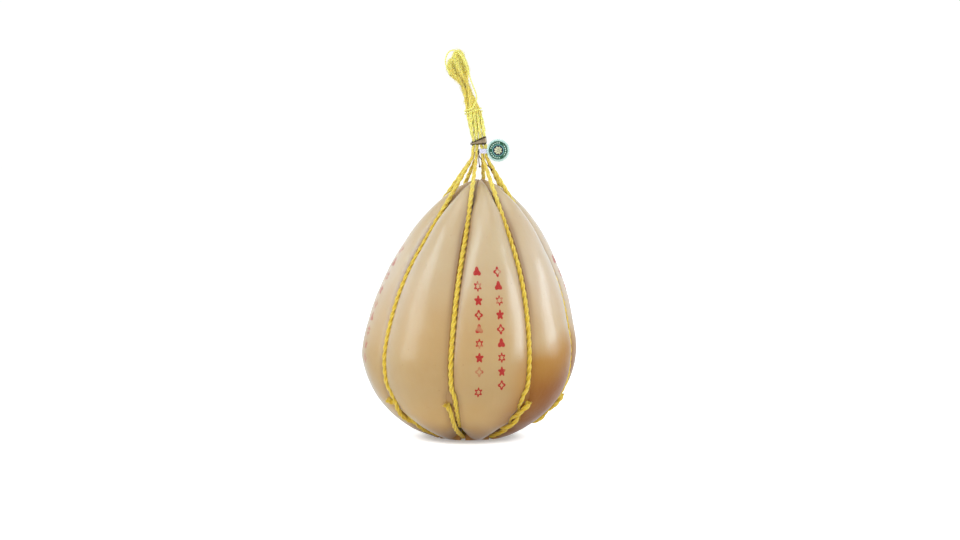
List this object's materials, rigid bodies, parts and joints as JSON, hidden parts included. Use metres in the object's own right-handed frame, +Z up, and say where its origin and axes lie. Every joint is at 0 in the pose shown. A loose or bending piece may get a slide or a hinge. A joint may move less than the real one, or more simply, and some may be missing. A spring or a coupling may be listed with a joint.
{
  "type": "provolone cheese",
  "caption": "Pear-shaped hung provolone with waxed lobes pressed by a net of doubled twine, gathered in a metal clip under a hanging loop, with a round plastic seal.",
  "frame": {"origin": "middle of the flat foot that the cheese stands on", "axes": "+Z up, from the foot to the hanging loop; the front, with the stamped marks and the seal's face, looks along -Y; the seal is on the +X side"},
  "size_m": [0.2144, 0.2144, 0.3853],
  "materials": {
    "rind": "waxed rind, ivory to tan",
    "twine": "laid yellow twine",
    "string": "thin pale yellow string",
    "clip_metal": "dull brown-grey metal",
    "seal_plastic": "pale mint plastic",
    "badge_print": "printed in greens, navy and cream",
    "strap_plastic": "pale lilac-white plastic"
  },
  "bodies": {
    "root": {"cheese": "rind", "twine_1": "twine", "twine_2": "twine", "twine_3": "twine", "twine_4": "twine", "foot_ring": "twine", "string": "string", "clip": "clip_metal", "prong_left": "clip_metal", "prong_right": "clip_metal", "strap": "strap_plastic", "seal": "seal_plastic", "badge": "badge_print"}
  },
  "joints": []
}
